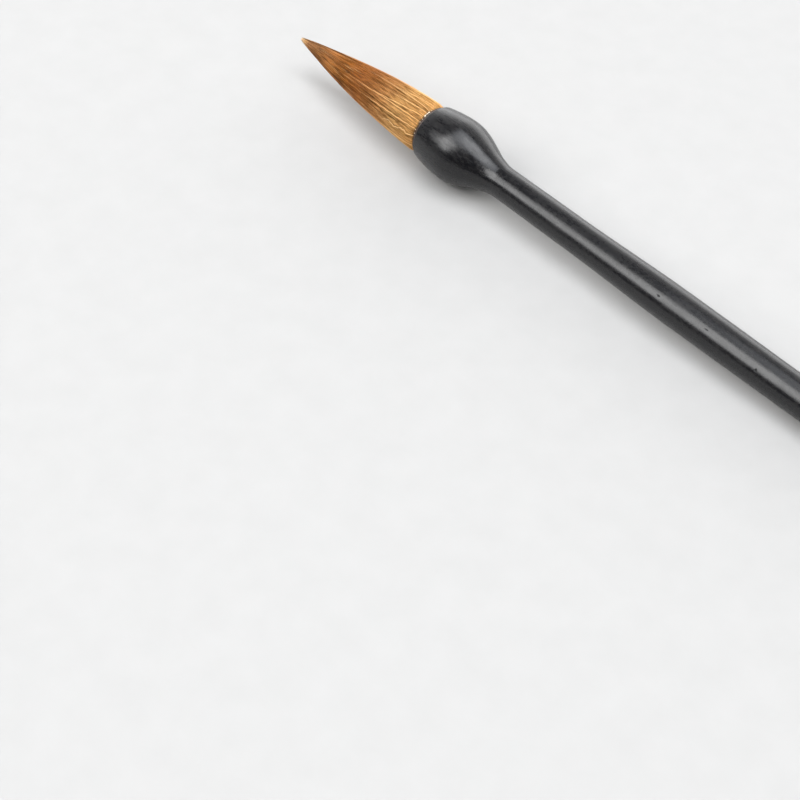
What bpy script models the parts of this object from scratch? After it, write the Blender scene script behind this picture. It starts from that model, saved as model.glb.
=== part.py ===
"""A calligraphy brush: a pointed hair tuft set in a turned black cup, on a turned black handle.

Metres, +Z up. The brush lies along X with its tip at -X, the origin midway between its two
ends, under the axis, on the plane that the bulb of the cup touches. Every piece is turned
about the brush's own axis, so each is written as (x, radius) points, with x counted from
the mouth of the cup, positive towards the tail.
"""

import math

import bmesh
import bpy

MM = 0.001

# Lengths along the axis
TUFT_OUT = 54.5 * MM        # free hair, mouth to tip
CUP_LENGTH = 30.0 * MM
SHAFT_LENGTH = 169.5 * MM
CAP_LENGTH = 16.0 * MM
TOTAL_LENGTH = TUFT_OUT + CUP_LENGTH + SHAFT_LENGTH + CAP_LENGTH

# Cup
LIP_RADIUS = 7.15 * MM
LIP_FLARE = 7.70 * MM       # outer radius just behind the lip
LIP_ROUND = 0.6 * MM
BULB_RADIUS = 8.75 * MM
BULB_X = 9.8 * MM
NECK_RADIUS = 4.3 * MM
NECK_X = 27.3 * MM          # where the ogee from the bulb runs out into the neck
SOCKET_RADIUS = 6.6 * MM
SOCKET_DEPTH = 16.0 * MM
TENON_BORE = 3.2 * MM
TENON_BORE_FLOOR = 19.0 * MM

# Handle: (distance from the mouth, radius) where the turned line changes its run
SHAFT_STATIONS = (
    (CUP_LENGTH, NECK_RADIUS),
    (52.0 * MM, 4.36 * MM),
    (86.0 * MM, 4.82 * MM),
    (128.0 * MM, 4.62 * MM),
    (CUP_LENGTH + SHAFT_LENGTH, 3.85 * MM),
)
TENON_RADIUS = 2.9 * MM
TENON_LENGTH = 10.4 * MM
SPIGOT_RADIUS = 2.0 * MM
SPIGOT_LENGTH = 5.0 * MM

# Tail cap
CAP_BEAD = 4.2 * MM
CAP_WAIST = 2.3 * MM
CAP_BUTTON = 3.4 * MM
CAP_FACE = 2.3 * MM         # radius of the flat end face
CAP_BORE = 2.3 * MM
LOOP_HOLE_RADIUS = 0.9 * MM

# Hair
HAIR_RADIUS = 6.95 * MM
HAIR_POWER = 1.7            # the tuft's outline is R (1 - (t / length) ** power) ** fullness
HAIR_FULLNESS = 0.85
ROOT_RADIUS = 6.3 * MM
COLLAR_RADIUS = 6.75 * MM   # the roots just outside the mouth
CORE_ROOT_RADIUS = 2.6 * MM
ROOT_END = 12.6 * MM
PIVOT_OUT = 0.15 * TUFT_OUT  # where a bending tuft turns as if it were hinged
BALL_RADIUS = 6.3 * MM
CORE_SHARE = 0.33           # of the tuft's radius at the same place
LINING_SHARE = 0.63
LINING_END = 36.0 * MM
COVER_END = 46.0 * MM

# Bindings, seal and glue
THREAD_RADIUS = 0.18 * MM
THREAD_TURNS = 4
THREAD_GROOVE = 0.9 * MM    # depth of the waist that each binding draws in
SEAL_RADIUS = 6.0 * MM
SEAL_THICKNESS = 1.2 * MM
GLUE_RADIUS = 6.25 * MM
GLUE_THICKNESS = 1.3 * MM

GAP = 0.3 * MM              # between pieces that are set or bound together
SEAM = 0.08 * MM            # between shoulders that butt against each other
MERGE = 1e-6

CUP_STEPS = 40
SHAFT_STEPS = 32
HAIR_STEPS = 28

MOUTH_X = TUFT_OUT - TOTAL_LENGTH / 2
AXIS_Z = BULB_RADIUS
PIVOT_X = -PIVOT_OUT

EBONY = ("black_lacquered_ebony", (0.012, 0.011, 0.011), 0.33, 0.0)
HORN = ("black_horn", (0.016, 0.013, 0.012), 0.28, 0.0)
HAIR = ("golden_brown_hair", (0.36, 0.19, 0.08), 0.45, 0.0)
LINING_HAIR = ("pale_lining_hair", (0.52, 0.36, 0.20), 0.50, 0.0)
ROOT_HAIR = ("bound_hair_roots", (0.22, 0.12, 0.06), 0.60, 0.0)
THREAD = ("waxed_thread", (0.62, 0.55, 0.42), 0.65, 0.0)
ROSIN = ("burnt_rosin", (0.16, 0.06, 0.02), 0.20, 0.0)
GLUE = ("clear_glue", (0.70, 0.62, 0.46), 0.25, 0.0)


def clear_scene():
    for obj in list(bpy.data.objects):
        bpy.data.objects.remove(obj)


def make_collection(name):
    collection = bpy.data.collections.new(name)
    bpy.context.scene.collection.children.link(collection)
    return collection


def material(name, colour, roughness, metallic):
    made = bpy.data.materials.get(name)
    if made is None:
        made = bpy.data.materials.new(name)
        made.use_nodes = True
        shader = made.node_tree.nodes["Principled BSDF"]
        shader.inputs["Base Color"].default_value = (*colour, 1.0)
        shader.inputs["Roughness"].default_value = roughness
        shader.inputs["Metallic"].default_value = metallic
    return made


def turned(name, points, steps, look, collection, closed=False):
    """A solid turned about the brush's axis, from (x, radius) points that run tail to tip.

    A closed outline makes a ring or a sleeve; an open one starts and ends on the axis.
    """
    mesh = bpy.data.meshes.new(name)
    shape = bmesh.new()
    corners = [shape.verts.new((radius, 0.0, x)) for x, radius in points]
    for start, end in zip(corners, corners[1:]):
        shape.edges.new((start, end))
    if closed:
        shape.edges.new((corners[-1], corners[0]))
    shape.to_mesh(mesh)
    shape.free()
    obj = bpy.data.objects.new(name, mesh)
    obj.rotation_euler = (0.0, math.pi / 2, 0.0)
    obj.location = (MOUTH_X, 0.0, AXIS_Z)
    screw = obj.modifiers.new("turn", "SCREW")
    screw.axis = "Z"
    screw.steps = steps
    screw.render_steps = steps
    screw.use_merge_vertices = True
    screw.merge_threshold = MERGE
    screw.use_smooth_shade = True
    mesh.materials.append(material(*look))
    collection.objects.link(obj)
    return obj


def spread(start, end, count):
    """count + 1 numbers from start to end."""
    return [start + (end - start) * i / count for i in range(count + 1)]


def smooth(u):
    u = min(max(u, 0.0), 1.0)
    return u * u * (3.0 - 2.0 * u)


def tuft_radius(t):
    """The outline of the whole tuft, t from the mouth towards the tip."""
    u = min(max(t / TUFT_OUT, 0.0), 1.0)
    return HAIR_RADIUS * (1.0 - u ** HAIR_POWER) ** HAIR_FULLNESS


def core_radius(t):
    """The core is slim in the belly of the tuft and becomes the whole of it at the tip."""
    share = CORE_SHARE + (1.0 - CORE_SHARE) * smooth((t - LINING_END) / (TUFT_OUT - LINING_END))
    return share * tuft_radius(t)


def bulb_radius(x):
    """The cup's outside: a full belly behind the lip, then an ogee down into the neck."""
    if x < BULB_X:
        u = (BULB_X - x) / (BULB_X - LIP_ROUND)
        return BULB_RADIUS - (BULB_RADIUS - LIP_FLARE) * u ** 1.8
    u = min((x - BULB_X) / (NECK_X - BULB_X), 1.0)
    return NECK_RADIUS + (BULB_RADIUS - NECK_RADIUS) * (1.0 + math.cos(math.pi * u)) / 2


def shaft_radius(x):
    """A slow swell and taper: an even curve from each station to the next."""
    for (x0, r0), (x1, r1) in zip(SHAFT_STATIONS, SHAFT_STATIONS[1:]):
        if x <= x1:
            return r0 + (r1 - r0) * smooth((x - x0) / (x1 - x0))
    return SHAFT_STATIONS[-1][1]


def on_ball(radius, r):
    """x of a point at r from the axis on the tail side of a ball about the pivot."""
    return PIVOT_X + math.sqrt(radius * radius - r * r)


def ball_face(radius, inner, outer, count):
    """(x, r) along a ball about the pivot, from the radius inner to the radius outer."""
    return [(on_ball(radius, r), r) for r in spread(inner, outer, count)]


def make_cup(parts):
    outside = [(x, bulb_radius(x)) for x in spread(CUP_LENGTH, LIP_ROUND, 22)]
    lip = [(0.15 * MM, LIP_RADIUS + 0.25 * MM), (0.0, LIP_RADIUS)]
    socket = [(0.0, SOCKET_RADIUS + 0.15 * MM), (0.3 * MM, SOCKET_RADIUS), (SOCKET_DEPTH, SOCKET_RADIUS)]
    web = [(SOCKET_DEPTH, 1.2 * MM), (TENON_BORE_FLOOR, 1.2 * MM)]
    bore = [(TENON_BORE_FLOOR, TENON_BORE), (CUP_LENGTH, TENON_BORE)]
    turned("ferrule_cup", outside + lip + socket + web + bore, CUP_STEPS, EBONY, parts, closed=True)


def make_shaft(parts):
    front = CUP_LENGTH + SEAM
    rear = CUP_LENGTH + SHAFT_LENGTH
    chamfer = 0.4 * MM
    spigot_end = rear + SPIGOT_LENGTH
    tenon_end = front - TENON_LENGTH
    spigot = [
        (spigot_end, 0.0),
        (spigot_end, SPIGOT_RADIUS - chamfer),
        (spigot_end - chamfer, SPIGOT_RADIUS),
        (rear, SPIGOT_RADIUS),
    ]
    body = [(x, shaft_radius(x)) for x in spread(rear, front, 17)]
    tenon = [
        (front, TENON_RADIUS),
        (tenon_end + chamfer, TENON_RADIUS),
        (tenon_end, TENON_RADIUS - chamfer),
        (tenon_end, 0.0),
    ]
    turned("handle_shaft", spigot + body + tenon, SHAFT_STEPS, EBONY, parts)


def make_tail_cap(parts, cutters):
    front = CUP_LENGTH + SHAFT_LENGTH + SEAM
    end = CUP_LENGTH + SHAFT_LENGTH + CAP_LENGTH
    bead_x = front + 1.6 * MM
    waist_x = front + 8.2 * MM
    button_x = end - 3.6 * MM
    button = [
        (button_x + (end - button_x) * math.sin(a), CAP_FACE + (CAP_BUTTON - CAP_FACE) * math.cos(a))
        for a in spread(math.pi / 2, 0.0, 6)
    ]
    into_waist = [
        (x, CAP_WAIST + (CAP_BUTTON - CAP_WAIST) * smooth((x - waist_x) / (button_x - waist_x)))
        for x in spread(button_x, waist_x, 6)[1:]
    ]
    shoulder = [
        (x, CAP_WAIST + (CAP_BEAD - CAP_WAIST) * smooth((waist_x - x) / (waist_x - bead_x)))
        for x in spread(waist_x, bead_x, 8)[1:]
    ]
    foot = [(front + 0.5 * MM, CAP_BEAD - 0.12 * MM), (front, SHAFT_STATIONS[-1][1])]
    bore_end = front + SPIGOT_LENGTH + GAP
    bore = [(front, CAP_BORE), (bore_end, CAP_BORE), (bore_end + 0.8 * MM, 0.0)]
    outline = [(end, 0.0)] + button + into_waist + shoulder + foot + bore
    cap = turned("tail_cap", outline, SHAFT_STEPS, HORN, parts)

    bpy.ops.mesh.primitive_cylinder_add(
        vertices=20,
        radius=LOOP_HOLE_RADIUS,
        depth=4 * CAP_BUTTON,
        location=(MOUTH_X + button_x, 0.0, AXIS_Z),
        rotation=(math.pi / 2, 0.0, 0.0),
    )
    drill = bpy.context.object
    drill.name = "loop_hole_drill"
    drill.hide_render = True
    drill.display_type = "WIRE"
    for collection in list(drill.users_collection):
        collection.objects.unlink(drill)
    cutters.objects.link(drill)
    cut = cap.modifiers.new("loop_hole", "BOOLEAN")
    cut.operation = "DIFFERENCE"
    cut.solver = "EXACT"
    cut.object = drill


def drawn_in(x_from, x_to, radius):
    """A sleeve's side from x_from to x_to, drawn in where a binding grips it."""
    waist = radius - THREAD_GROOVE
    ramp = 0.5 * MM
    return [(x_from + ramp, radius), (x_from, waist), (x_to, waist), (x_to - ramp, radius)]


def make_roots(parts):
    """The hairs' bound ends, from the seal out to the hollow that the tuft turns in."""
    hollow = BALL_RADIUS + GAP
    core_end = ROOT_END
    core_side = drawn_in(9.0 * MM, 6.2 * MM, CORE_ROOT_RADIUS)
    core_front = ball_face(hollow, CORE_ROOT_RADIUS, 0.0, 4)
    core = [(core_end, 0.0), (core_end, CORE_ROOT_RADIUS)] + core_side + core_front
    turned("core_root", core, HAIR_STEPS, ROOT_HAIR, parts)

    inner = CORE_ROOT_RADIUS + GAP
    edge_x = PIVOT_X + 2.0 * MM
    edge_r = math.sqrt(hollow ** 2 - (edge_x - PIVOT_X) ** 2)
    cover_side = drawn_in(11.4 * MM, 8.6 * MM, ROOT_RADIUS)
    collar = [(0.0, ROOT_RADIUS), (-GAP, COLLAR_RADIUS), (edge_x, COLLAR_RADIUS)]
    cover_front = ball_face(hollow, edge_r, inner, 6)
    cover = [(core_end, inner), (core_end, ROOT_RADIUS)] + cover_side + collar + cover_front
    turned("cover_root", cover, HAIR_STEPS, ROOT_HAIR, parts, closed=True)


def make_thread(name, middle, radius, parts):
    """A short helix of thread, wound side by side round the brush's axis."""
    pitch = 2.4 * THREAD_RADIUS
    per_turn = 16
    count = THREAD_TURNS * per_turn
    curve = bpy.data.curves.new(name, "CURVE")
    curve.dimensions = "3D"
    curve.bevel_depth = THREAD_RADIUS
    curve.bevel_resolution = 2
    curve.use_fill_caps = True
    spline = curve.splines.new("POLY")
    spline.points.add(count)
    for i, point in enumerate(spline.points):
        turn = i / per_turn
        x = MOUTH_X + middle + (turn - THREAD_TURNS / 2) * pitch
        angle = 2 * math.pi * turn
        point.co = (x, radius * math.cos(angle), AXIS_Z + radius * math.sin(angle), 1.0)
    obj = bpy.data.objects.new(name, curve)
    curve.materials.append(material(*THREAD))
    parts.objects.link(obj)


def make_bindings(parts):
    lift = GAP + THREAD_RADIUS + 0.05 * MM
    make_thread("inner_binding", 7.6 * MM, CORE_ROOT_RADIUS - THREAD_GROOVE + lift, parts)
    make_thread("outer_binding", 10.0 * MM, ROOT_RADIUS - THREAD_GROOVE + lift, parts)


def make_seal_and_glue(parts):
    seal = ROOT_END + GAP
    back = seal + SEAL_THICKNESS
    edge = 0.3 * MM
    seal_outline = [
        (back, 0.0),
        (back, SEAL_RADIUS - 2 * edge),
        (back - edge, SEAL_RADIUS - edge / 2),
        (seal + edge, SEAL_RADIUS),
        (seal, SEAL_RADIUS - edge),
        (seal, 0.0),
    ]
    turned("rosin_seal", seal_outline, HAIR_STEPS, ROSIN, parts)

    glue = back + GAP
    glue_back = glue + GLUE_THICKNESS
    glue_outline = [
        (glue_back, 0.0),
        (glue_back, GLUE_RADIUS),
        (glue, GLUE_RADIUS),
        (glue + edge, GLUE_RADIUS / 2),
        (glue + edge, 0.0),
    ]
    turned("socket_glue", glue_outline, HAIR_STEPS, GLUE, parts)


def make_tuft(parts):
    """Three layers of hair, each with its tail end cut to one ball about the pivot."""
    core_back = CORE_SHARE * BALL_RADIUS
    lining_in, lining_back = core_back + GAP, LINING_SHARE * BALL_RADIUS
    cover_in = lining_back + GAP

    core_side = [(-t, core_radius(t)) for t in spread(PIVOT_OUT, TUFT_OUT, 15)]
    core = ball_face(BALL_RADIUS, 0.0, core_back, 3) + core_side
    turned("hair_core", core, HAIR_STEPS, LINING_HAIR, parts)

    stations = spread(PIVOT_OUT, LINING_END, 6)
    lining_out = [(-t, LINING_SHARE * tuft_radius(t)) for t in stations[1:]]
    lining_hollow = [(-t, core_radius(t) + GAP) for t in reversed(stations)]
    lining = ball_face(BALL_RADIUS, lining_in, lining_back, 3) + lining_out + lining_hollow[:-1]
    turned("hair_lining", lining, HAIR_STEPS, LINING_HAIR, parts, closed=True)

    swell = PIVOT_OUT + 3.0 * MM
    cover_out = [(-t, tuft_radius(t)) for t in spread(swell, COVER_END, 12)]
    past_lining = LINING_END + 3 * GAP
    tip_hollow = [(-t, core_radius(t) + GAP) for t in spread(COVER_END, past_lining, 4)]
    hollow = [(-t, LINING_SHARE * tuft_radius(t) + GAP) for t in spread(LINING_END + GAP, PIVOT_OUT, 6)]
    cover = ball_face(BALL_RADIUS, cover_in, BALL_RADIUS, 6) + cover_out + tip_hollow + hollow[:-1]
    turned("hair_cover", cover, HAIR_STEPS, HAIR, parts, closed=True)


def main():
    clear_scene()
    parts = make_collection("calligraphy_brush")
    cutters = make_collection("cutters")
    make_cup(parts)
    make_shaft(parts)
    make_tail_cap(parts, cutters)
    make_roots(parts)
    make_bindings(parts)
    make_seal_and_glue(parts)
    make_tuft(parts)


main()
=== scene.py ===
"""The looks of the calligraphy brush: turned black lacquer, and a tuft of separate hairs.

Metres, in the CAD's frame: the brush lies along X, its tip at -X. Lengths called t run from
the cup's mouth towards the tip, and lengths called x run from the mouth towards the tail.
"""

import math

import bmesh
import bpy
import numpy as np
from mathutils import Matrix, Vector


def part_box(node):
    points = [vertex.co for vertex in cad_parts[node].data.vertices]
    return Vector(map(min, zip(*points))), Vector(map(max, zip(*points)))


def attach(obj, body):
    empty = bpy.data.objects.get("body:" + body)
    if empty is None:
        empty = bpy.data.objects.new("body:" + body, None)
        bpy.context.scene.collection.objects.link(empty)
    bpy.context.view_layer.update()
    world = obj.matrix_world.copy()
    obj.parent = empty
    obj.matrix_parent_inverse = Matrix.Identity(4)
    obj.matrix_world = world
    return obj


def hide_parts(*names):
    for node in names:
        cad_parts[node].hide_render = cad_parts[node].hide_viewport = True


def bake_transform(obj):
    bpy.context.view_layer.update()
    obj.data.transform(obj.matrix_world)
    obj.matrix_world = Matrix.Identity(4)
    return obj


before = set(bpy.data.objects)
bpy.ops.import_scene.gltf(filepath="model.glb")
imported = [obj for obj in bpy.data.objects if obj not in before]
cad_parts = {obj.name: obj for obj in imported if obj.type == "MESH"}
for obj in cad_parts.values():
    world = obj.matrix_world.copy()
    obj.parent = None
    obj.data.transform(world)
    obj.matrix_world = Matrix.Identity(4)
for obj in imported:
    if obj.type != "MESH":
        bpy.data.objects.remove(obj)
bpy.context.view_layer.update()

MM = 0.001
SEED = 7

# Places read from the CAD
MOUTH_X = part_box("ferrule_cup")[0].x
CUP_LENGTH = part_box("ferrule_cup")[1].x - MOUTH_X
BULB_RADIUS = (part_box("ferrule_cup")[1].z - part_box("ferrule_cup")[0].z) / 2
AXIS_Z = (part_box("ferrule_cup")[1].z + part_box("ferrule_cup")[0].z) / 2
TIP_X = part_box("hair_core")[0].x
TUFT_OUT = MOUTH_X - TIP_X
TAIL_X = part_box("tail_cap")[1].x
CAP_LENGTH = TAIL_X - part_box("tail_cap")[0].x
SHAFT_END = TAIL_X - MOUTH_X - CAP_LENGTH

# The cup's outline
LIP_RADIUS = 7.15 * MM
LIP_FLARE = 7.70 * MM       # outer radius just behind the lip
LIP_ROUND = 0.6 * MM        # how far behind the mouth that radius is
LIP_CHAMFER = 1.05 * MM     # where the worn chamfer round the lip begins
BULB_X = 9.8 * MM
NECK_RADIUS = 4.3 * MM
NECK_X = 27.3 * MM          # where the curve from the bulb runs out into the neck
SOCKET_RADIUS = 6.6 * MM
SOCKET_DEPTH = 16.0 * MM
VENT_RADIUS = 1.2 * MM      # the hole between the socket and the tenon's bore
BORE_RADIUS = 3.2 * MM
BORE_FLOOR = 19.0 * MM
CUP_END = CUP_LENGTH + 0.05 * MM
CUP_RINGS = 250             # lengthwise steps of the outside
CUP_SEGMENTS = 220          # steps round the axis

# The handle's outline: (distance from the mouth, radius) where the turned line changes its run
SHAFT_STATIONS = (
    (CUP_LENGTH, NECK_RADIUS),
    (52.0 * MM, 4.36 * MM),
    (86.0 * MM, 4.82 * MM),
    (128.0 * MM, 4.62 * MM),
    (SHAFT_END, 3.85 * MM),
)
TENON_RADIUS = 2.9 * MM
TENON_LENGTH = 10.4 * MM
SPIGOT_RADIUS = 2.0 * MM
SPIGOT_LENGTH = 5.0 * MM
CHAMFER = 0.4 * MM          # on the ends of tenon and spigot
HAIRLINE = 0.02 * MM        # the seam between cup and shaft
SHAFT_RINGS = 420
SHAFT_SEGMENTS = 144

# Nicks in the handle's lacquer: distance from the mouth, angle round the axis in degrees, the
# radius there, half the nick's length and width, and how deep it looks
SHAFT_NICKS = (
    (84.2 * MM, 132.0, 4.80 * MM, 0.42 * MM, 0.22 * MM, 0.65),
    (99.6 * MM, 130.0, 4.77 * MM, 0.60 * MM, 0.14 * MM, 0.40),
    (115.6 * MM, 141.0, 4.66 * MM, 0.26 * MM, 0.36 * MM, 1.00),
)

ORANGE_PEEL = 0.005 * MM    # the height of the lacquer's own unevenness

# The tail cap's outline
CAP_BEAD = 4.2 * MM
CAP_WAIST = 2.3 * MM
CAP_BUTTON = 3.4 * MM
CAP_FACE = 2.3 * MM         # radius of the flat end face
CAP_BORE = 2.3 * MM
CAP_BEAD_X = 1.6 * MM       # the bead's widest place, behind the cap's front
CAP_WAIST_X = 8.2 * MM
CAP_BUTTON_LENGTH = 3.6 * MM
LOOP_HOLE = 0.9 * MM
CAP_SEGMENTS = 128

# The tuft
HAIR_RADIUS = 6.95 * MM
HAIR_POWER = 1.65
HAIR_FULLNESS = 0.95
POINT_RADIUS = 0.40 * MM    # the point is a little blunt
HAIR_IN_SOCKET = 6.4 * MM
HAIR_ROOT = 3.0 * MM        # how far inside the mouth the visible hairs begin
UNDER_OUTLINE = 0.19 * MM   # how deep the topmost hairs' middles lie, to leave room for wisps
LOCKS = 56
WISPS = 3                   # wisps to a lock
COVER_PIECES = 5
DEEP_PIECES = 2             # the first of them lie under the others
HAIRS_PER_PIECE = 2400
DEEP_WIDEST = 0.075 * MM    # a hair's radius at its thickest
COVER_WIDEST = 0.058 * MM
FINE_HAIRS = 210
FINE_TO_TIP = 110           # the first of them reach the tip, and are thicker
TO_TIP_WIDEST = 0.100 * MM
FINE_WIDEST = 0.050 * MM
LOOSE_THREADS = 14
INNER_LENGTH = 0.93         # the inner body of hair, as a share of the tuft's length
INNER_SHARE = 0.90          # and of its radius, from which the next is taken
INNER_BELOW = 0.35 * MM
INNER_SEGMENTS = 96
DROOP = 0.48 * MM           # how far the tip has sunk under the tuft's weight

# Places along a hair by share of its length, close together where it leaves the cup
STATIONS = np.array([
    0.0, 0.045, 0.075, 0.11, 0.18, 0.27, 0.37, 0.47, 0.57, 0.67, 0.77, 0.86, 0.94, 1.0,
])
FINE_STATIONS = np.linspace(0.0, 1.0, 40)
THREAD_STATIONS = np.linspace(0.0, 1.0, 90)

# Threads of hair that stand out: angle round the axis at the cup and at the far end in
# degrees, length, and how much they crinkle
STRAY_THREADS = (
    (114.0, 140.0, 27.0 * MM, 0.15),
    (147.0, 157.0, 25.0 * MM, 0.20),
    (164.0, 177.0, 15.0 * MM, 1.00),
    (76.0, 89.0, 14.0 * MM, 0.10),
    (128.0, 137.0, 36.0 * MM, 0.10),
)

# A thread's five hairs, three pale and two dark: how far each lies to the side and above the
# tuft, its thickness, its tone, and how much paler it is where the thread is fully crinkled
# The pale hairs are partly pale hair and partly painted highlight; the two dark hairs are painted
# shadow cast by the pale ones.
THREAD_ASIDE = np.array([0.09, 0.0, -0.09, -0.22, -0.31]) * MM
THREAD_HEIGHT = np.array([0.06, 0.12, 0.05, -0.02, -0.03]) * MM
THREAD_WIDEST = np.array([0.060, 0.075, 0.055, 0.065, 0.050]) * MM
THREAD_TONES = np.array([0.84, 0.92, 0.84, 0.16, 0.24])
THREAD_PALER = np.array([0.10, 0.05, 0.08, -0.08, -0.10])

# Crumbs of glue on the lip: their size, and their angles round the axis in degrees
GLUE_CRUMBS = (
    (0.19 * MM, (100.0, 102.5, 105.0, 112.0, 114.5)),
    (0.11 * MM, (93.0, 108.0, 121.0, 129.0, 147.0, 155.0, 240.0, 300.0)),
)

# The camera, in degrees and metres, and what it looks at
CAMERA_AZIMUTH = 49.07
CAMERA_ELEVATION = 46.60
CAMERA_DISTANCE = 0.5225
CAMERA_AIM = Vector((-0.0477, -0.0398, -0.0394))
CAMERA_LENS = 90.0

# The stage
FLOOR_SIZE = 8.0
LIGHT_DISTANCE = 3.0
BACKDROP_RADIUS = 2.4
BACKDROP_HEIGHT = 3.2


# ---------------------------------------------------------------- outlines

def spread(start, end, count):
    """count + 1 numbers from start to end."""
    return [start + (end - start) * i / count for i in range(count + 1)]


def smooth(u):
    """From 0 to 1, level at both ends."""
    u = np.clip(u, 0.0, 1.0)
    return u * u * (3.0 - 2.0 * u)


def bulb_radius(x):
    """The cup's outside: a full belly behind the lip, then a curve down into the neck."""
    if x < BULB_X:
        u = (BULB_X - x) / (BULB_X - LIP_ROUND)
        return BULB_RADIUS - (BULB_RADIUS - LIP_FLARE) * u ** 1.8
    u = min((x - BULB_X) / (NECK_X - BULB_X), 1.0)
    return NECK_RADIUS + (BULB_RADIUS - NECK_RADIUS) * (1.0 + math.cos(math.pi * u)) / 2


def shaft_radius(x):
    """A slow swell and taper: an even curve from each station to the next."""
    for (x0, r0), (x1, r1) in zip(SHAFT_STATIONS, SHAFT_STATIONS[1:]):
        if x <= x1:
            return r0 + (r1 - r0) * float(smooth((x - x0) / (x1 - x0)))
    return SHAFT_STATIONS[-1][1]


def tuft_radius(t):
    """The tuft's outline, full at the mouth and drawn to a slightly blunt point."""
    u = np.clip(np.asarray(t, float) / TUFT_OUT, 0.0, 1.0)
    return POINT_RADIUS + (HAIR_RADIUS - POINT_RADIUS) * (1.0 - u ** HAIR_POWER) ** HAIR_FULLNESS


# ---------------------------------------------------------------- mesh builders

def link(obj, material):
    """Put a new object in the scene with its material."""
    bpy.context.scene.collection.objects.link(obj)
    obj.data.materials.append(material)
    return obj


def turned(name, outline, segments, material, closed=True):
    """A closed surface turned about the brush's axis from (x, radius) points.

    An outline that isn't closed starts and ends on the axis.
    """
    points = np.array(outline)
    count = len(points)
    angles = np.linspace(0.0, 2 * math.pi, segments, endpoint=False)
    x = np.repeat(MOUTH_X + points[:, 0], segments)
    y = (points[:, 1:2] * np.cos(angles)).ravel()
    z = AXIS_Z + (points[:, 1:2] * np.sin(angles)).ravel()
    vertices = np.stack([x, y, z], axis=1)
    rings = count if closed else count - 1
    row = np.arange(rings)[:, None] * segments
    following = ((np.arange(rings) + 1) % count)[:, None] * segments
    here = np.arange(segments)[None, :]
    after = (here + 1) % segments
    faces = np.stack([row + here, following + here, following + after, row + after], axis=2)
    mesh = bpy.data.meshes.new(name)
    mesh.from_pydata(vertices.tolist(), [], faces.reshape(-1, 4).tolist())
    shape = bmesh.new()
    shape.from_mesh(mesh)
    bmesh.ops.remove_doubles(shape, verts=shape.verts, dist=1e-7)
    bmesh.ops.recalc_face_normals(shape, faces=shape.faces)
    shape.to_mesh(mesh)
    shape.free()
    mesh.shade_smooth()
    mesh.set_sharp_from_angle(angle=math.radians(40))
    return link(bpy.data.objects.new(name, mesh), material)


def strands(name, paths, radii, tone, material, sides=3):
    """Tapered closed tubes: paths is (hairs, stations, 3), radii and tone (hairs, stations).

    Each carries its tone, its share of the way along the tuft, and its angle round the axis at
    the root, for the material to read.
    """
    hairs, stations = radii.shape
    along = np.gradient(paths, axis=1)
    along /= np.linalg.norm(along, axis=2, keepdims=True)
    outward = paths - np.array([0.0, 0.0, AXIS_Z])
    outward[..., 0] = 0.0
    outward += np.array([0.0, 1e-9, 1e-9])
    outward -= (outward * along).sum(2, keepdims=True) * along
    outward /= np.linalg.norm(outward, axis=2, keepdims=True)
    across = np.cross(along, outward)
    angles = np.arange(sides) * 2 * math.pi / sides
    ring = (
        np.cos(angles)[:, None] * outward[:, :, None, :]
        + np.sin(angles)[:, None] * across[:, :, None, :]
    )
    vertices = (paths[:, :, None, :] + ring * radii[:, :, None, None]).reshape(-1, 3)

    base = (np.arange(hairs) * stations * sides)[:, None, None]
    station = (np.arange(stations - 1) * sides)[None, :, None]
    side = np.arange(sides)[None, None, :]
    after = (side + 1) % sides
    start = base + station
    quads = np.stack(
        [start + side, start + after, start + sides + after, start + sides + side], axis=3
    ).reshape(-1, 4)
    first = base[:, 0, :] + np.arange(sides)[None, ::-1]
    last = base[:, 0, :] + (stations - 1) * sides + np.arange(sides)[None, :]
    caps = np.concatenate([first, last])

    mesh = bpy.data.meshes.new(name)
    mesh.vertices.add(len(vertices))
    mesh.vertices.foreach_set("co", vertices.astype(np.float32).ravel())
    corners = np.concatenate([quads.ravel(), caps.ravel()]).astype(np.int32)
    sizes = np.concatenate([np.full(len(quads), 4), np.full(len(caps), sides)])
    mesh.loops.add(len(corners))
    mesh.loops.foreach_set("vertex_index", corners)
    mesh.polygons.add(len(sizes))
    starts = np.concatenate([[0], np.cumsum(sizes)[:-1]]).astype(np.int32)
    mesh.polygons.foreach_set("loop_start", starts)
    mesh.update(calc_edges=True)
    mesh.validate()
    mesh.shade_smooth()
    paint(mesh, "tone", np.repeat(tone.ravel(), sides))
    share = (MOUTH_X - paths[..., 0]) / TUFT_OUT
    paint(mesh, "along", np.repeat(share.ravel(), sides))
    turn = np.arctan2(paths[:, 0, 2] - AXIS_Z, paths[:, 0, 1])
    paint(mesh, "turn", np.repeat(turn, stations * sides))
    return link(bpy.data.objects.new(name, mesh), material)


def paint(mesh, name, values):
    """One number for each vertex, under a name that the material reads."""
    layer = mesh.attributes.new(name, "FLOAT", "POINT")
    layer.data.foreach_set("value", np.asarray(values, np.float32))


# ---------------------------------------------------------------- material nodes

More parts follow.
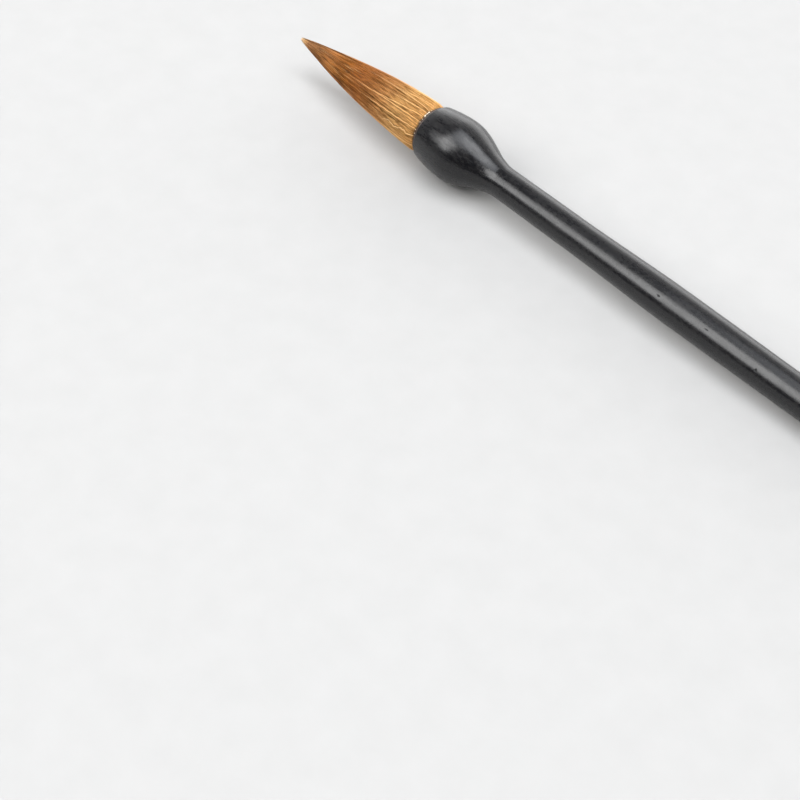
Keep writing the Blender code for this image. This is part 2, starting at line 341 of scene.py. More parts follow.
class Nodes:
    """A Principled material, built node by node."""

    def __init__(self, name, colour=(0.5, 0.5, 0.5), roughness=0.5, **constants):
        self.material = bpy.data.materials.new(name)
        self.material.use_nodes = True
        self.tree = self.material.node_tree
        self.shader = self.tree.nodes["Principled BSDF"]
        self.shader.inputs["Base Color"].default_value = (*colour, 1.0)
        self.shader.inputs["Roughness"].default_value = roughness
        for socket, value in constants.items():
            self.shader.inputs[socket.replace("_", " ")].default_value = value

    def add(self, kind, values=None, **settings):
        node = self.tree.nodes.new(kind)
        for key, value in settings.items():
            setattr(node, key, value)
        for socket, value in (values or {}).items():
            if isinstance(value, bpy.types.NodeSocket):
                self.tree.links.new(value, node.inputs[socket])
            else:
                node.inputs[socket].default_value = value
        return node

    def place(self, scale):
        """Object coordinates, stretched by scale."""
        where = self.add("ShaderNodeTexCoord").outputs["Object"]
        return self.add("ShaderNodeMapping", {"Vector": where, "Scale": scale}).outputs[0]

    def noise(self, scale, detail=3.0):
        """Noise over object coordinates, with scale given as cells to the metre along X, Y, Z."""
        values = {"Vector": self.place(scale), "Scale": 1.0, "Detail": detail, "Roughness": 0.5}
        return self.add("ShaderNodeTexNoise", values).outputs["Fac"]

    def span(self, value, low, high, to_low=0.0, to_high=1.0):
        values = {0: value, 1: low, 2: high, 3: to_low, 4: to_high}
        return self.add("ShaderNodeMapRange", values).outputs[0]

    def maths(self, operation, a, b=0.0):
        return self.add("ShaderNodeMath", {0: a, 1: b}, operation=operation).outputs[0]

    def vector_maths(self, operation, a, b=(0.0, 0.0, 0.0)):
        return self.add("ShaderNodeVectorMath", {0: a, 1: b}, operation=operation)

    def ramp(self, value, stops):
        node = self.add("ShaderNodeValToRGB", {"Fac": value})
        ramp = node.color_ramp
        while len(ramp.elements) < len(stops):
            ramp.elements.new(1.0)
        for element, (at, colour) in zip(ramp.elements, stops):
            element.position = at
            element.color = (*colour, 1.0)
        return node.outputs["Color"]

    def mix(self, share, a, b, blend="MIX"):
        node = self.add("ShaderNodeMix", data_type="RGBA", blend_type=blend)
        for socket, value in zip((0, 6, 7), (share, a, b)):
            if isinstance(value, bpy.types.NodeSocket):
                self.tree.links.new(value, node.inputs[socket])
            else:
                node.inputs[socket].default_value = value if socket == 0 else (*value, 1.0)
        return node.outputs[2]

    def attribute(self, name):
        return self.add("ShaderNodeAttribute", attribute_name=name).outputs["Fac"]

    def strand_noise(self, round_it, lengthwise):
        """Noise that follows the hairs, from -1 to 1: cells to the radian and to the tuft's length."""
        x = self.maths("MULTIPLY", self.attribute("along"), lengthwise)
        y = self.maths("MULTIPLY", self.attribute("turn"), round_it)
        place = self.add("ShaderNodeCombineXYZ", {"X": x, "Y": y}).outputs[0]
        values = {"Vector": place, "Scale": 1.0, "Detail": 2.0, "Roughness": 0.55}
        noise = self.add("ShaderNodeTexNoise", values, noise_dimensions="2D").outputs["Fac"]
        return self.span(noise, 0.3, 0.7, -1.0, 1.0)

    def nicks(self, places):
        """How deep the small ragged marks are, from 0 to 1; each place is as in SHAFT_NICKS."""
        where = self.add("ShaderNodeTexCoord").outputs["Object"]
        ragged = self.maths("MULTIPLY", self.noise((4000.0, 4000.0, 4000.0)), 0.9)
        deepest = None
        for x, degrees, radius, long, wide, depth in places:
            a = math.radians(degrees)
            centre = (MOUTH_X + x, radius * math.cos(a), AXIS_Z + radius * math.sin(a))
            off = self.vector_maths("SUBTRACT", where, centre).outputs[0]
            scaled = self.vector_maths("MULTIPLY", off, (1 / long, 1 / wide, 1 / wide)).outputs[0]
            length = self.vector_maths("LENGTH", scaled).outputs["Value"]
            mark = self.span(self.maths("ADD", length, ragged), 1.6, 0.9, 0.0, depth)
            deepest = mark if deepest is None else self.maths("MAXIMUM", deepest, mark)
        return deepest

    def bump(self, height, distance, under=None):
        values = {"Height": height, "Distance": distance, "Strength": 1.0}
        if under is not None:
            values["Normal"] = under
        return self.add("ShaderNodeBump", values).outputs["Normal"]

    def set(self, socket, value):
        self.tree.links.new(value, self.shader.inputs[socket])


def lacquer(name, scratches, nicks=(), worn_lip=False):
    """Satin black lacquer over turned wood, slightly mottled.

    scratches is the height of its lengthwise lines in millimetres. The nicks are as in
    SHAFT_NICKS, and a worn lip shows the brown wood in a ragged band round the cup's mouth.
    """
    m = Nodes(name, colour=(0.005, 0.005, 0.006), roughness=0.28, IOR=1.45)
    lengthwise = m.noise((170.0, 1500.0, 1500.0), detail=2.0)
    mottle = m.noise((900.0, 1300.0, 1300.0), detail=4.0)
    uneven = m.noise((70.0, 90.0, 90.0), detail=3.0)
    rough = m.maths("ADD", m.span(mottle, 0.3, 0.7, -0.03, 0.04), m.span(uneven, 0.3, 0.7, 0.24, 0.30))
    streak = 3.0 * scratches
    rough = m.maths("ADD", rough, m.span(lengthwise, 0.3, 0.7, -streak, streak))
    colour = m.mix(m.span(mottle, 0.4, 0.8), (0.004, 0.004, 0.005), (0.010, 0.009, 0.009))
    normal = m.bump(lengthwise, scratches * MM)
    normal = m.bump(mottle, ORANGE_PEEL, under=normal)
    if nicks:
        hollow = m.nicks(nicks)
        normal = m.bump(hollow, -0.12 * MM, under=normal)
        colour = m.mix(hollow, colour, (0.0, 0.0, 0.0))
        rough = m.maths("ADD", rough, m.span(hollow, 0.0, 1.0, 0.0, 0.4))
    if worn_lip:
        where = m.add("ShaderNodeTexCoord").outputs["Object"]
        x = m.add("ShaderNodeSeparateXYZ", {0: where}).outputs["X"]
        ragged = m.maths("MULTIPLY", mottle, 0.5 * MM)
        worn = m.span(m.maths("ADD", x, ragged), MOUTH_X + 1.1 * MM, MOUTH_X + 0.8 * MM)
        colour = m.mix(worn, colour, (0.040, 0.016, 0.007))
        rough = m.maths("ADD", rough, m.span(worn, 0.0, 1.0, 0.0, 0.12))
    m.set("Roughness", rough)
    m.set("Base Color", colour)
    m.set("Normal", normal)
    return m.material


def hair_material():
    """Glossy golden-brown hair, pale at the root and the point, streaked and unevenly toned, with
    painted shade and painted highlight carried in its tones.
    """
    m = Nodes(
        "tuft_hair", roughness=0.38, IOR=1.5,
        Specular_IOR_Level=0.25, Specular_Tint=(1.0, 0.74, 0.46, 1.0),
    )
    length = m.ramp(m.attribute("along"), (
        # The first two stops darken the hair inside the socket and for about a millimetre past the
        # mouth: painted shade of the gap under the lip.
        (0.000, (0.020, 0.009, 0.004)),
        (0.010, (0.050, 0.022, 0.008)),
        (0.020, (0.515, 0.269, 0.085)),
        (0.180, (0.470, 0.255, 0.086)),
        (0.280, (0.370, 0.170, 0.053)),
        (0.380, (0.293, 0.114, 0.030)),
        (0.480, (0.271, 0.092, 0.021)),
        (0.600, (0.235, 0.079, 0.013)),
        (0.730, (0.300, 0.115, 0.029)),
        (0.860, (0.243, 0.102, 0.034)),
        (0.925, (0.315, 0.141, 0.050)),
        (0.958, (0.490, 0.270, 0.100)),
        (1.000, (0.820, 0.610, 0.360)),
    ))
    tone = m.attribute("tone")
    streaks = m.maths("MULTIPLY", m.strand_noise(27.0, 26.0), 0.14)
    patches = m.maths("MULTIPLY", m.strand_noise(8.0, 15.0), 0.14)
    near_tip = m.span(m.attribute("along"), 0.45, 0.75, 0.0, 0.50)
    gathered = m.maths("MULTIPLY", m.strand_noise(4.4, 6.0), near_tip)
    uneven = m.maths("ADD", m.maths("ADD", streaks, patches), m.maths("ADD", gathered, tone))
    # Tone darkens or brightens the colour: random tone, and also the painted shade of grooves and
    # shadowing hairs and the painted highlight of the palest hairs.
    shade = m.ramp(uneven, (
        (0.00, (0.28, 0.23, 0.20)),
        (0.30, (0.64, 0.58, 0.52)),
        (0.52, (1.00, 1.00, 1.00)),
        (0.85, (1.60, 1.72, 1.95)),
    ))
    deep = m.mix(1.0, length, shade, blend="MULTIPLY")
    # Tones above 0.84 turn pale cream: partly pale hair, partly painted highlight along the hair.
    pale = m.span(tone, 0.84, 1.0, 0.0, 0.70)
    m.set("Base Color", m.mix(pale, deep, (0.68, 0.44, 0.20)))
    return m.material


def inner_hair_shade_material():
    """The hair that lies under the strands, coloured dark: painted shade of the tuft's inside, which
    shows in the gaps between strands.
    """
    m = Nodes("tuft_inner_hair_shade", roughness=0.6, IOR=1.5)
    lines = m.noise((40.0, 2600.0, 2600.0), detail=3.0)
    m.set("Base Color", m.ramp(lines, (
        (0.30, (0.10, 0.045, 0.014)),
        (0.70, (0.30, 0.15, 0.05)),
    )))
    m.set("Normal", m.bump(lines, 0.05 * MM))
    return m.material


def thread_material():
    m = Nodes("waxed_thread", roughness=0.6, Sheen_Weight=0.2)
    twist = m.noise((3000.0, 900.0, 900.0), detail=3.0)
    m.set("Base Color", m.ramp(twist, ((0.3, (0.45, 0.37, 0.25)), (0.7, (0.70, 0.62, 0.48)))))
    m.set("Normal", m.bump(twist, 0.03 * MM))
    return m.material


def rosin_material():
    m = Nodes("burnt_rosin", roughness=0.2, IOR=1.54)
    clouds = m.noise((500.0, 500.0, 500.0), detail=5.0)
    m.set("Base Color", m.ramp(clouds, ((0.3, (0.05, 0.018, 0.006)), (0.7, (0.26, 0.10, 0.03)))))
    m.set("Normal", m.bump(clouds, 0.05 * MM))
    return m.material


def glue_material():
    m = Nodes("dried_glue", roughness=0.3, IOR=1.47)
    clouds = m.noise((900.0, 900.0, 900.0), detail=3.0)
    m.set("Base Color", m.ramp(clouds, ((0.3, (0.66, 0.54, 0.38)), (0.7, (0.90, 0.82, 0.68)))))
    m.set("Normal", m.bump(clouds, 0.03 * MM))
    return m.material


# ---------------------------------------------------------------- handle pieces

def round_edge(x, r, radius, start, end, count):
    """An arc of count steps about (x, r) from one angle to another, in degrees."""
    return [
        (x + radius * math.cos(a), r + radius * math.sin(a))
        for a in (math.radians(d) for d in spread(start, end, count))
    ]


def make_cup(material):
    """The cup, with the faint rings that the turning tool leaves."""
    rng = np.random.RandomState(SEED)
    waver = rng.normal(0.0, 0.0012 * MM, CUP_RINGS + 1)
    rear = [(CUP_END, NECK_RADIUS - 0.03 * MM), (CUP_LENGTH + 0.03 * MM, NECK_RADIUS)]
    stations = spread(CUP_LENGTH, LIP_CHAMFER, CUP_RINGS)
    outside = [(x, bulb_radius(x) + w) for x, w in zip(stations, waver)]
    lip_half = (LIP_RADIUS - SOCKET_RADIUS) / 2
    lip = round_edge(lip_half, LIP_RADIUS - lip_half + 0.10 * MM, lip_half, 60, 250, 10)
    socket = [(0.6 * MM, SOCKET_RADIUS), (SOCKET_DEPTH, SOCKET_RADIUS), (SOCKET_DEPTH, VENT_RADIUS)]
    bore = [(BORE_FLOOR, VENT_RADIUS), (BORE_FLOOR, BORE_RADIUS), (CUP_LENGTH, BORE_RADIUS)]
    cup = turned("cup_body", rear + outside + lip + socket + bore, CUP_SEGMENTS, material)
    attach(cup, "handle")
    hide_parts("ferrule_cup")


def make_shaft(material):
    """The handle between cup and tail cap, which wanders a little, as turned wood does."""
    rng = np.random.RandomState(SEED + 1)
    front = CUP_END + HAIRLINE
    rear = SHAFT_END
    spigot = [
        (rear + SPIGOT_LENGTH, 1e-6),
        (rear + SPIGOT_LENGTH, SPIGOT_RADIUS - CHAMFER),
        (rear + SPIGOT_LENGTH - CHAMFER, SPIGOT_RADIUS),
        (rear, SPIGOT_RADIUS),
        (rear, SHAFT_STATIONS[-1][1] - 0.05 * MM),
    ]
    drift = np.cumsum(rng.normal(0.0, 0.0006 * MM, SHAFT_RINGS + 1))
    drift -= np.linspace(drift[0], drift[-1], SHAFT_RINGS + 1)
    stations = spread(rear - 0.05 * MM, front, SHAFT_RINGS)
    side = [(x, shaft_radius(x) + d) for x, d in zip(stations, drift)]
    tenon_end = front - TENON_LENGTH
    tenon = [
        (front, TENON_RADIUS),
        (tenon_end + CHAMFER, TENON_RADIUS),
        (tenon_end, TENON_RADIUS - CHAMFER),
        (tenon_end, 1e-6),
    ]
    shaft = turned("shaft_body", spigot + side + tenon, SHAFT_SEGMENTS, material, closed=False)
    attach(shaft, "handle")
    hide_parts("handle_shaft")


def make_cap(material):
    """The tail cap: a bead, a waist and a button with a cross hole for a hanging loop."""
    front = SHAFT_END + 0.03 * MM
    end = TAIL_X - MOUTH_X
    bead_x = front + CAP_BEAD_X
    waist_x = front + CAP_WAIST_X
    button_x = end - CAP_BUTTON_LENGTH
    button = [
        (button_x + (end - button_x) * math.sin(a), CAP_FACE + (CAP_BUTTON - CAP_FACE) * math.cos(a))
        for a in spread(math.pi / 2, 0.0, 24)
    ]
    to_waist = [
        (x, CAP_WAIST + (CAP_BUTTON - CAP_WAIST) * float(smooth((x - waist_x) / (button_x - waist_x))))
        for x in spread(button_x, waist_x, 30)[1:]
    ]
    shoulder = [
        (x, CAP_WAIST + (CAP_BEAD - CAP_WAIST) * float(smooth((waist_x - x) / (waist_x - bead_x))))
        for x in spread(waist_x, bead_x, 40)[1:]
    ]
    foot = [
        (x, CAP_BEAD - (CAP_BEAD - SHAFT_STATIONS[-1][1]) * ((bead_x - x) / (bead_x - front)) ** 2.5)
        for x in spread(bead_x, front, 12)[1:]
    ]
    bore_end = front + SPIGOT_LENGTH + 0.3 * MM
    bore = [(front, CAP_BORE), (bore_end, CAP_BORE), (bore_end + 0.8 * MM, 1e-6)]
    outline = [(end, 1e-6)] + button + to_waist + shoulder + foot + bore
    cap = turned("cap_body", outline, CAP_SEGMENTS, material, closed=False)

    bpy.ops.mesh.primitive_cylinder_add(
        vertices=48, radius=LOOP_HOLE, depth=4 * CAP_BUTTON,
        location=(MOUTH_X + button_x, 0.0, AXIS_Z), rotation=(math.pi / 2, 0.0, 0.0),
    )
    drill = bpy.context.object
    cut = cap.modifiers.new("loop_hole", "BOOLEAN")
    cut.object = drill
    cut.solver = "EXACT"
    baked = bpy.data.meshes.new_from_object(cap.evaluated_get(bpy.context.evaluated_depsgraph_get()))
    cap.modifiers.clear()
    cap.data = baked
    bpy.data.objects.remove(drill)
    baked.shade_smooth()
    baked.set_sharp_from_angle(angle=math.radians(40))
    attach(cap, "handle")
    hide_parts("tail_cap")


# ---------------------------------------------------------------- the tuft

def wave(rng, count, share, cycles):
    """A gentle wandering for each of count hairs: two slow sines of random phase and pace."""
    slow = cycles * rng.uniform(0.6, 1.3, (count, 1)) * share + rng.rand(count, 1)
    quick = 2.3 * cycles * share + rng.rand(count, 1)
    return 0.7 * np.sin(2 * math.pi * slow) + 0.3 * np.sin(2 * math.pi * quick)


def hair_lengths(ends, stations=STATIONS):
    """Distances t along each hair, from its root in the socket to its end."""
    return -HAIR_ROOT + (ends[:, None] + HAIR_ROOT) * stations[None, :]


def droop(share):
    """How far the tuft has sunk under its own weight, by share of its length."""
    return DROOP * smooth((share - 0.22) / 0.5)


def lay_on_tuft(t, angle, inward):
    """Points at distance t, at an angle round the axis, and inward from the tuft's outline."""
    outline = tuft_radius(t)
    in_socket = smooth((t + 0.3 * MM) / (3.2 * MM))
    outline = HAIR_IN_SOCKET + (outline - HAIR_IN_SOCKET) * in_socket
    share = np.sqrt(np.clip(outline / HAIR_RADIUS, 0.0, 1.0))
    radius = np.clip(outline - inward * share, 0.06 * MM, None)
    z = AXIS_Z - droop(t / TUFT_OUT) + radius * np.sin(angle)
    return np.stack([MOUTH_X - t, radius * np.cos(angle), z], axis=2)


def hair_thickness(rng, hairs, widest, stations=STATIONS):
    """Fine at the root, full at a third of the way, drawn out to a point."""
    share = stations[None, :]
    form = 0.70 + 0.30 * smooth(share / 0.35)
    form = form * (1.0 - 0.80 * smooth((share - 0.60) / 0.40))
    return widest * rng.uniform(0.75, 1.2, (hairs, 1)) * form


class Locks:
    """How the hair gathers: into locks, and within each lock into wisps.

    Each has a groove beside it, a tone, and a place round the tuft. A wisp also lifts, sways
    and changes shade along its length, in tables read by share of the tuft's length. Towards
    the tip, locks share their tone with their neighbours, in pairs and then in fours.
    """

    def __init__(self, rng):
        count = LOCKS * WISPS
        share = np.linspace(0.0, 1.0, 40)[None, :]
        self.groove = rng.uniform(0.05, 0.34, LOCKS) * MM
        self.wisp_groove = 0.22 * MM * rng.rand(count) ** 2
        self.open = np.clip(0.45 + 0.75 * wave(rng, count, share, 1.3), 0.0, 1.0)
        self.drift = rng.normal(0.0, 0.05, LOCKS)
        self.width = rng.dirichlet(np.full(LOCKS, 9.0)) * 2 * math.pi
        self.start = np.cumsum(self.width) - self.width
        self.tone = rng.normal(0.0, 0.15, LOCKS)
        self.pair_tone = rng.normal(0.0, 0.20, LOCKS // 2)
        self.four_tone = rng.normal(0.0, 0.20, LOCKS // 4)
        self.wisp_tone = rng.normal(0.0, 0.21, count)
        self.wisp_lift = 0.09 * MM * wave(rng, count, share, 1.6)
        self.wisp_sway = 0.022 * wave(rng, count, share, 1.1)
        self.wisp_shade = 0.12 * wave(rng, count, share, 2.4)

    @staticmethod
    def follow(table, wisp, out):
        """The table's rows, one for each wisp, read at each hair's own share of the length."""
        at = np.clip(out, 0.0, 1.0) * (table.shape[1] - 1)
        low = np.minimum(at.astype(int), table.shape[1] - 2)
        rest = at - low
        rows = wisp[:, None]
        return table[rows, low] * (1.0 - rest) + table[rows, low + 1] * rest


def lay_locks(rng, locks, hairs, depth, reach):
    """Paths and tones of hairs that follow their wisps and gather towards the tip."""
    turn = rng.rand(hairs) * 2 * math.pi
    lock = np.searchsorted(locks.start, turn, side="right") - 1
    in_lock = (turn - locks.start[lock]) / locks.width[lock]
    wisp = lock * WISPS + np.minimum((in_lock * WISPS).astype(int), WISPS - 1)
    wisp_middle = (wisp % WISPS + 0.5) / WISPS
    t = hair_lengths(TUFT_OUT * reach)
    out = np.clip(t / TUFT_OUT, 0.0, 1.0)

    gather = smooth((out - 0.03) / 0.55)
    to_wisp = (in_lock - wisp_middle)[:, None] * (1.0 - 0.50 * gather)
    place = (wisp_middle[:, None] - 0.5) * (1.0 - 0.16 * gather) + 0.5 + to_wisp
    angle = locks.start[lock][:, None] + place * locks.width[lock][:, None]
    angle = angle + locks.drift[lock][:, None] * out
    angle = angle + locks.follow(locks.wisp_sway, wisp, out) * smooth(out / 0.1)
    angle = angle + 0.012 * wave(rng, hairs, out, 1.8)

    edge = np.abs(place - 0.5) * 2
    groove = locks.groove[lock][:, None] * smooth((edge - 0.60) / 0.40)
    wisp_edge = np.abs((in_lock - wisp_middle) * WISPS * 2)[:, None]
    groove = groove + locks.wisp_groove[wisp][:, None] * smooth((wisp_edge - 0.4) / 0.6)
    groove = groove * smooth(out / 0.10) * locks.follow(locks.open, wisp, out)
    lift = locks.follow(locks.wisp_lift, wisp, out) * smooth(out / 0.15)
    own = 0.035 * MM * wave(rng, hairs, out, 2.6)
    inward = UNDER_OUTLINE + depth[:, None] + groove - lift - own

    in_wisps = 1.0 - 0.6 * smooth((out - 0.2) / 0.5)
    in_locks = 0.4 + 0.6 * smooth((out - 0.1) / 0.5)
    in_pairs = smooth((out - 0.35) / 0.40)
    in_fours = smooth((out - 0.60) / 0.25)
    tone = 0.505 + in_wisps * locks.wisp_tone[wisp][:, None] + in_locks * locks.tone[lock][:, None]
    tone = tone + in_pairs * locks.pair_tone[lock // 2][:, None]
    tone = tone + in_fours * locks.four_tone[lock // 4][:, None] + rng.normal(0.0, 0.15, (hairs, 1))
    tone = tone + locks.follow(locks.wisp_shade, wisp, out)
    # Hairs that lie deeper, or down in a groove, get a darker tone: painted shade of the grooves and
    # of the hair over them.
    tone = tone - 0.30 * depth[:, None] / MM - 0.45 * groove / MM
    return lay_on_tuft(t, angle, inward), tone


def bend_with_tuft(piece):
    """Bakes the piece's placement into its mesh."""
    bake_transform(piece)


def make_cover_hair(rng, material):
    """The body of the tuft, as several pieces of equal numbers of hairs."""
    locks = Locks(rng)
    for i in range(COVER_PIECES):
        hairs = HAIRS_PER_PIECE
        deep = i < DEEP_PIECES
        depth = rng.uniform(0.25, 0.75, hairs) * MM if deep else 0.22 * MM * rng.rand(hairs) ** 1.5
        reach = 0.996 - 0.45 * rng.rand(hairs) ** 1.7
        paths, tone = lay_locks(rng, locks, hairs, depth, reach)
        radii = hair_thickness(rng, hairs, DEEP_WIDEST if deep else COVER_WIDEST)
        hair = strands(f"cover_hairs_{i + 1}", paths, radii, np.clip(tone, 0.0, 0.84), material)
        bend_with_tuft(hair)
        if i == 0:
            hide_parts("hair_cover", "cover_root")


def make_fine_hair(rng, material):
    """Single hairs over the rest, each pale or dark for a stretch of its length: the pale stretches
    are partly pale hair and partly painted highlight, the dark ones painted shade between hairs.
    """
    hairs = FINE_HAIRS
    to_tip = np.arange(hairs) < FINE_TO_TIP
    turn = rng.rand(hairs) * 2 * math.pi
    reach = np.where(to_tip, rng.uniform(0.93, 0.985, hairs), 0.985 - 0.60 * rng.rand(hairs) ** 1.2)
    t = hair_lengths(TUFT_OUT * reach, FINE_STATIONS)
    out = np.clip(t / TUFT_OUT, 0.0, 1.0)

    sway = 0.035 * wave(rng, hairs, out, 0.8) + 0.010 * wave(rng, hairs, out, 4.0)
    angle = turn[:, None] + sway
    stand = rng.uniform(0.0, 0.12, hairs)[:, None] * MM
    inward = 0.10 * MM - stand * smooth(out / 0.1) + 0.03 * MM * wave(rng, hairs, out, 2.0)
    widest = np.where(to_tip, TO_TIP_WIDEST, FINE_WIDEST)[:, None]
    radii = hair_thickness(rng, hairs, widest, FINE_STATIONS)

    middle = np.where(to_tip, rng.uniform(0.52, 0.90, hairs), rng.uniform(0.05, 0.70, hairs))
    stretch = rng.uniform(0.10, 0.26, (hairs, 1))
    shown = 1.0 - smooth(np.abs(out - middle[:, None]) / stretch)
    # Pale stretches: pale hair with painted highlight; dark stretches: painted shade between hairs.
    is_pale = rng.rand(hairs) < 0.80
    peak = np.where(is_pale, rng.uniform(0.84, 1.0, hairs), rng.uniform(0.12, 0.25, hairs))
    tone = 0.50 + (peak[:, None] - 0.50) * shown
    hair = strands("fine_hairs", lay_on_tuft(t, angle, inward), radii, tone, material)
    bend_with_tuft(hair)


def make_sprung_hair(rng, material):
    """Threads that cross the rest: the chosen ones, and some more at random."""
    loose = LOOSE_THREADS
    lines = len(STRAY_THREADS) + loose
    chosen = np.array(STRAY_THREADS)
    start = np.radians(np.concatenate([chosen[:, 0], rng.uniform(0.0, 360.0, loose)]))
    drift = np.radians(np.concatenate([chosen[:, 1] - chosen[:, 0], rng.normal(0.0, 9.0, loose)]))
    length = np.concatenate([chosen[:, 2], rng.uniform(9.0, 40.0, loose) * MM])
    crinkle = np.concatenate([chosen[:, 3], 0.3 * rng.rand(loose) ** 2])[:, None]

    t = hair_lengths(length, THREAD_STATIONS)
    sway = 0.42 * MM * wave(rng, lines, t / MM, 0.27) * smooth(t / (3.0 * MM))
    rise = 0.10 * MM * wave(rng, lines, t / MM, 0.22) * smooth(t / (3.0 * MM))
    turn = start[:, None] + drift[:, None] * np.clip(t / length[:, None], 0, 1)

    each = len(THREAD_ASIDE)
    t = np.repeat(t, each, axis=0)
    across = np.repeat(crinkle * sway, each, axis=0) + np.tile(THREAD_ASIDE, lines)[:, None]
    across = across + 0.02 * MM * wave(rng, lines * each, t / TUFT_OUT, 3.0)
    angle = np.repeat(turn, each, axis=0) + across / np.maximum(tuft_radius(t), 1.0 * MM)
    inward = -np.tile(THREAD_HEIGHT, lines)[:, None] - np.repeat(crinkle * rise, each, axis=0)
    widest = np.tile(THREAD_WIDEST, lines)[:, None]
    radii = hair_thickness(rng, lines * each, widest, THREAD_STATIONS)
    # Pale hairs with painted highlight and dark hairs of painted shadow, both stronger where the
    # thread crinkles.
    tone = np.tile(THREAD_TONES, lines) + np.repeat(crinkle[:, 0], each) * np.tile(THREAD_PALER, lines)
    tone = np.repeat(tone[:, None], len(THREAD_STATIONS), axis=1)
    hair = strands("sprung_hairs", lay_on_tuft(t, angle, inward), radii, tone, material, sides=5)
    bend_with_tuft(hair)


def make_inner_hair(material):
    """A solid body of hair under the strands, so that no light shows through the tuft."""
    stations = spread(-HAIR_ROOT, INNER_LENGTH * TUFT_OUT, 60)
    tuft = [(t, float(min(tuft_radius(t), HAIR_IN_SOCKET))) for t in stations]
    belly = [(-t, radius * INNER_SHARE - INNER_BELOW) for t, radius in tuft]
    belly = [(x, r) for x, r in belly if r > 0.05 * MM]
    outline = [(HAIR_ROOT, 1e-6)] + belly + [(belly[-1][0] - 0.2 * MM, 1e-6)]
    core = turned("inner_hair", outline, INNER_SEGMENTS, material, closed=False)
    for vertex in core.data.vertices:
        vertex.co.z -= float(droop((MOUTH_X - vertex.co.x) / TUFT_OUT))
    bend_with_tuft(core)
    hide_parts("hair_core", "hair_lining", "core_root")


def make_glue_specks(material):
    """Crumbs of dried glue round the lip, most and largest on its upper side."""
    rng = np.random.RandomState(SEED + 3)
    crumbs = [(size, degrees) for size, places in GLUE_CRUMBS for degrees in places]
    shape = bmesh.new()
    for size, degrees in crumbs:
        angle = math.radians(degrees + rng.uniform(-0.8, 0.8))
        radius = LIP_RADIUS + rng.uniform(0.0, 0.15) * MM
        place = Vector((
            MOUTH_X - rng.uniform(-0.08, 0.10) * MM,
            radius * math.cos(angle),
            AXIS_Z + radius * math.sin(angle),
        ))
        made = bmesh.ops.create_icosphere(shape, subdivisions=3, radius=size)
        stretch = Vector((rng.uniform(0.8, 1.2), rng.uniform(0.9, 1.5), rng.uniform(0.7, 1.2)))
        lumps = Vector(rng.uniform(4000.0, 9000.0, 3))
        for vertex in made["verts"]:
            lump = 1.0 + 0.16 * sum(math.sin(c) for c in vertex.co * lumps)
            vertex.co = vertex.co * stretch * lump + place
    mesh = bpy.data.meshes.new("glue_specks")
    shape.to_mesh(mesh)
    shape.free()
    mesh.shade_smooth()
    specks = link(bpy.data.objects.new("glue_specks", mesh), material)
    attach(specks, "handle")


# ---------------------------------------------------------------- stage

def make_floor():
    """Pale paper-white floor, leaning so that it touches both the bulb and the tail cap."""
    bulb_x = MOUTH_X + BULB_X
    bead_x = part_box("tail_cap")[0].x + CAP_BEAD_X
    slope = math.atan2(AXIS_Z - CAP_BEAD, bead_x - bulb_x)
    mesh = bpy.data.meshes.new("floor")
    shape = bmesh.new()
    bmesh.ops.create_grid(shape, x_segments=1, y_segments=1, size=FLOOR_SIZE)
    shape.to_mesh(mesh)
    shape.free()
    m = Nodes("pale_floor", roughness=0.75)
    fibres = m.noise((120.0, 120.0, 120.0), detail=4.0)
    m.set("Base Color", m.ramp(fibres, (
        (0.3, (0.402, 0.398, 0.391)),
        (0.7, (0.416, 0.412, 0.405)),
    )))
    floor = link(bpy.data.objects.new("floor", mesh), m.material)
    floor.location = (bulb_x, 0.0, -0.02 * MM)
    floor.rotation_euler = (0.0, -slope, 0.0)


def make_backdrop():
    """A pale round wall in front of the lights, which only the camera sees. It glows by itself, palest
    at its foot and greyer higher up: painted light in place of a lit wall.
    """
    shape = bmesh.new()
    bmesh.ops.create_cone(
        shape, cap_ends=False, segments=96,
        radius1=BACKDROP_RADIUS, radius2=BACKDROP_RADIUS, depth=BACKDROP_HEIGHT,
    )
    mesh = bpy.data.meshes.new("backdrop")
    shape.to_mesh(mesh)
    shape.free()
    mesh.shade_smooth()
    m = Nodes("pale_backdrop", colour=(0.0, 0.0, 0.0), roughness=1.0, Specular_IOR_Level=0.0)
    m.shader.inputs["Emission Strength"].default_value = 1.0
    where = m.add("ShaderNodeTexCoord").outputs["Object"]
    height = m.add("ShaderNodeSeparateXYZ", {0: where}).outputs["Z"]
    m.set("Emission Color", m.ramp(m.span(height, 0.0, BACKDROP_HEIGHT / 2), (
        (0.0, (0.90, 0.90, 0.89)),
        (0.5, (0.66, 0.67, 0.68)),
    )))
    backdrop = link(bpy.data.objects.new("backdrop", mesh), m.material)
    backdrop.visible_diffuse = False
    backdrop.visible_glossy = False
    backdrop.visible_transmission = False
    backdrop.visible_shadow = False


def add_softbox(name, azimuth, elevation, wide, high, radiance, colour=(1.0, 1.0, 1.0)):
    """An area light that looks at the brush; wide and high are the angles it covers, in degrees.

    Azimuth 0 is towards +Y and azimuth 90 is towards -X.
    """
    a, e = math.radians(azimuth), math.radians(elevation)
    towards = Vector((-math.sin(a) * math.cos(e), math.cos(a) * math.cos(e), math.sin(e)))
    light = bpy.data.lights.new(name, "AREA")
    light.shape = "RECTANGLE"
    light.size = 2 * LIGHT_DISTANCE * math.tan(math.radians(wide / 2))
    light.size_y = 2 * LIGHT_DISTANCE * math.tan(math.radians(high / 2))
    light.energy = math.pi * light.size * light.size_y * radiance
    light.color = colour
    obj = bpy.data.objects.new(name, light)
    obj.location = towards * LIGHT_DISTANCE
    obj.rotation_euler = towards.to_track_quat("Z", "Y").to_euler()
    bpy.context.scene.collection.objects.link(obj)


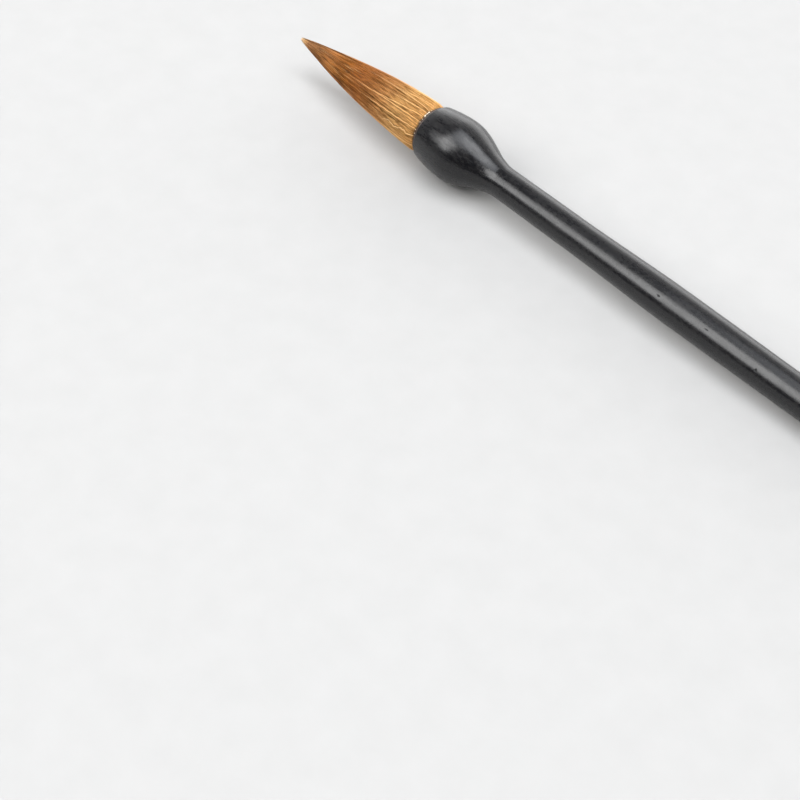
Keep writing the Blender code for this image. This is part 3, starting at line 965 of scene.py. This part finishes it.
def make_lights():
    add_softbox("left_softbox", 148, 42, 30, 37, 7.8)
    add_softbox("overhead_softbox", 0, 90, 46, 46, 4.0, colour=(0.92, 0.95, 1.0))
    add_softbox("overhead_core", -60, 82, 28, 28, 3.0)
    add_softbox("back_panel", 10, 14, 100, 30, 2.1)
    add_softbox("back_glow", 10, 27, 100, 56, 0.9)
    add_softbox("side_panel", 82, 14, 36, 28, 3.0)
    add_softbox("tail_softbox", -90, 46, 60, 34, 1.8)
    world = bpy.data.worlds.new("studio")
    bpy.context.scene.world = world
    world.use_nodes = True
    sky = world.node_tree.nodes["Background"]
    sky.inputs["Color"].default_value = (0.95, 0.97, 1.0, 1.0)
    sky.inputs["Strength"].default_value = 0.06


def make_camera():
    a, e = math.radians(CAMERA_AZIMUTH), math.radians(CAMERA_ELEVATION)
    back = Vector((math.sin(a) * math.cos(e), -math.cos(a) * math.cos(e), math.sin(e)))
    camera = bpy.data.objects.new("camera", bpy.data.cameras.new("camera"))
    camera.data.lens = CAMERA_LENS
    camera.data.clip_start = 0.01
    camera.data.clip_end = 20.0
    camera.location = CAMERA_AIM + back * CAMERA_DISTANCE
    camera.rotation_euler = (-back).to_track_quat("-Z", "Y").to_euler()
    bpy.context.scene.collection.objects.link(camera)
    bpy.context.scene.camera = camera


def finish_cad_nodes():
    """The pieces inside the cup keep their CAD shapes and get their own finishes."""
    finishes = {
        "inner_binding": thread_material(),
        "outer_binding": thread_material(),
        "rosin_seal": rosin_material(),
        "socket_glue": glue_material(),
    }
    for node, material in finishes.items():
        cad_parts[node].data.materials.clear()
        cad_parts[node].data.materials.append(material)


make_camera()
make_lights()
make_floor()
make_backdrop()
make_cup(lacquer("cup_lacquer", scratches=0.022, worn_lip=True))
make_shaft(lacquer("shaft_lacquer", scratches=0.009, nicks=SHAFT_NICKS))
make_cap(lacquer("cap_horn", scratches=0.010))
hair = hair_material()
make_cover_hair(np.random.RandomState(SEED + 2), hair)
make_fine_hair(np.random.RandomState(SEED + 4), hair)
make_sprung_hair(np.random.RandomState(SEED + 5), hair)
make_inner_hair(inner_hair_shade_material())
make_glue_specks(glue_material())
finish_cad_nodes()

bpy.context.scene.view_settings.view_transform = "Standard"
